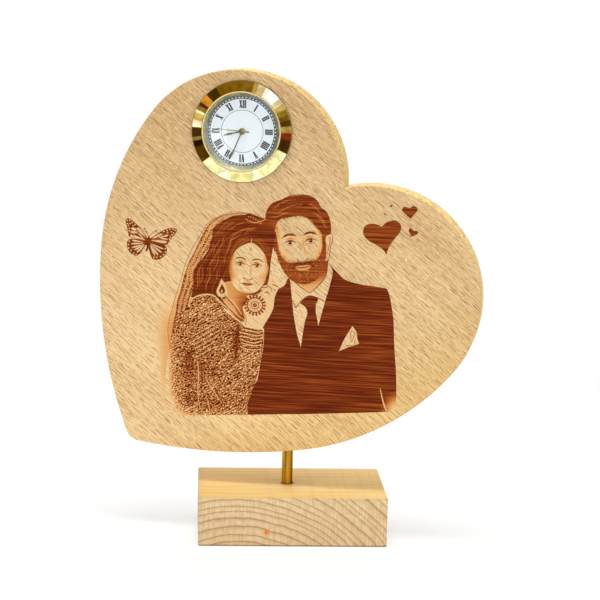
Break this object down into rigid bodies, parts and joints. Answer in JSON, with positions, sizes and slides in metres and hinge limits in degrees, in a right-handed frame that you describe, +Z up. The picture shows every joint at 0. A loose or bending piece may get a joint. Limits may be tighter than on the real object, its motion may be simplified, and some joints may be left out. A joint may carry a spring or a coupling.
{
  "type": "engraved photo clock",
  "caption": "Leaning heart-shaped beech plaque with an engraved couple and a small round quartz clock, carried by a brass rod on a rectangular pine block.",
  "frame": {"origin": "centre of the underside of the pine block, on the surface it stands on", "axes": "+Z up; the dial and the engraved face look along -Y; +X to the right seen from the front"},
  "size_m": [0.1396, 0.0574, 0.1693],
  "materials": {
    "pine": "sanded bare pine, open end grain on the front",
    "beech": "sanded bare beech with laser-burnt engraving",
    "brass_rod": "drawn brass, slightly tarnished",
    "gold_plate": "polished gold plating",
    "glass": "clear flat mineral glass",
    "champagne_metal": "polished champagne anodised ring",
    "dial_enamel": "white painted dial with black print",
    "case_plastic": "moulded black ABS",
    "grip_rubber": "soft matt ring",
    "steel": "pressed stainless steel",
    "plate_plastic": "moulded glass-filled nylon",
    "soft_iron": "annealed magnetic iron",
    "copper_wire": "lacquered copper winding",
    "board": "glass-epoxy circuit board",
    "epoxy": "black potting epoxy",
    "magnet_plastic": "plastic-bonded magnet",
    "wheel_plastic": "moulded acetal",
    "wheel_brass": "cut brass wheels",
    "hand_gilt": "gilt stamped brass",
    "knob_plastic": "moulded black knob"
  },
  "bodies": {
    "stand": {"base_block": "pine", "support_rod": "brass_rod"},
    "heart": {"heart_plaque": "beech"},
    "insert": {"bezel": "gold_plate", "lens": "glass", "flange_ring": "champagne_metal", "dial": "dial_enamel", "insert_case": "case_plastic", "fit_ring": "grip_rubber", "back_cover": "steel", "main_plate": "plate_plastic", "train_bridge": "steel", "bridge_screws": "steel", "stator": "soft_iron", "coil_core": "soft_iron", "coil_bobbin": "plate_plastic", "coil_winding": "copper_wire", "stator_screws": "steel", "circuit_board": "board", "driver_chip": "epoxy", "quartz_can": "steel", "battery_cell": "steel", "contact_minus": "gold_plate", "contact_plus": "gold_plate"},
    "hatch": {"battery_hatch": "steel"},
    "rotor": {"rotor": "magnet_plastic"},
    "intermediate": {"intermediate_wheel": "wheel_plastic"},
    "third": {"third_wheel": "wheel_plastic"},
    "centre": {"centre_wheel": "wheel_brass"},
    "seconds": {"second_wheel": "wheel_brass", "second_hand": "hand_gilt"},
    "minutes": {"cannon_pinion": "wheel_brass", "minute_hand": "hand_gilt"},
    "minute_gear": {"minute_wheel": "wheel_plastic"},
    "hours": {"hour_wheel": "wheel_brass", "hour_hand": "hand_gilt"},
    "setting": {"set_knob": "knob_plastic"}
  },
  "joints": [
    {"name": "plaque_swivel", "type": "hinge", "parent": "stand", "child": "heart", "pos_m": [-0.00137, -0.0003, 0.018], "axis": [0, 0, 1], "continuous": true},
    {"name": "insert_pull", "type": "slide", "parent": "heart", "child": "insert", "axis": [0, -1, 0], "range_m": [0, 0.014]},
    {"name": "second_hand_turn", "type": "hinge", "parent": "insert", "child": "seconds", "pos_m": [-0.0195, -0.0063, 0.1475], "axis": [0, 1, 0], "continuous": true},
    {"name": "rotor_turn", "type": "hinge", "parent": "insert", "child": "rotor", "pos_m": [-0.0122, -0.0063, 0.1475], "axis": [0, 1, 0], "continuous": true},
    {"name": "intermediate_turn", "type": "hinge", "parent": "insert", "child": "intermediate", "pos_m": [-0.01485, -0.0063, 0.14994], "axis": [0, 1, 0], "continuous": true},
    {"name": "third_turn", "type": "hinge", "parent": "insert", "child": "third", "pos_m": [-0.02296, -0.0063, 0.15125], "axis": [0, 1, 0], "continuous": true},
    {"name": "centre_turn", "type": "hinge", "parent": "insert", "child": "centre", "pos_m": [-0.0195, -0.0063, 0.1475], "axis": [0, 1, 0], "continuous": true},
    {"name": "minute_hand_turn", "type": "hinge", "parent": "insert", "child": "minutes", "pos_m": [-0.0195, -0.0063, 0.1475], "axis": [0, 1, 0], "continuous": true},
    {"name": "minute_wheel_turn", "type": "hinge", "parent": "insert", "child": "minute_gear", "pos_m": [-0.02245, -0.0063, 0.14544], "axis": [0, 1, 0], "continuous": true},
    {"name": "hour_hand_turn", "type": "hinge", "parent": "insert", "child": "hours", "pos_m": [-0.0195, -0.0063, 0.1475], "axis": [0, 1, 0], "continuous": true},
    {"name": "set_knob_turn", "type": "hinge", "parent": "insert", "child": "setting", "pos_m": [-0.0254, -0.0063, 0.14337], "axis": [0, 1, 0], "continuous": true},
    {"name": "hatch_turn", "type": "hinge", "parent": "insert", "child": "hatch", "pos_m": [-0.01822, -0.0063, 0.13839], "axis": [0, -1, 0], "range_deg": [0, 60]}
  ],
  "couplings": [
    {"joint": "rotor_turn", "follows": "second_hand_turn", "ratio": 30},
    {"joint": "intermediate_turn", "follows": "second_hand_turn", "ratio": -6},
    {"joint": "third_turn", "follows": "second_hand_turn", "ratio": -0.13333},
    {"joint": "centre_turn", "follows": "second_hand_turn", "ratio": 0.016667},
    {"joint": "minute_wheel_turn", "follows": "minute_hand_turn", "ratio": -0.33333},
    {"joint": "hour_hand_turn", "follows": "minute_hand_turn", "ratio": 0.083333},
    {"joint": "set_knob_turn", "follows": "minute_hand_turn", "ratio": 1}
  ]
}
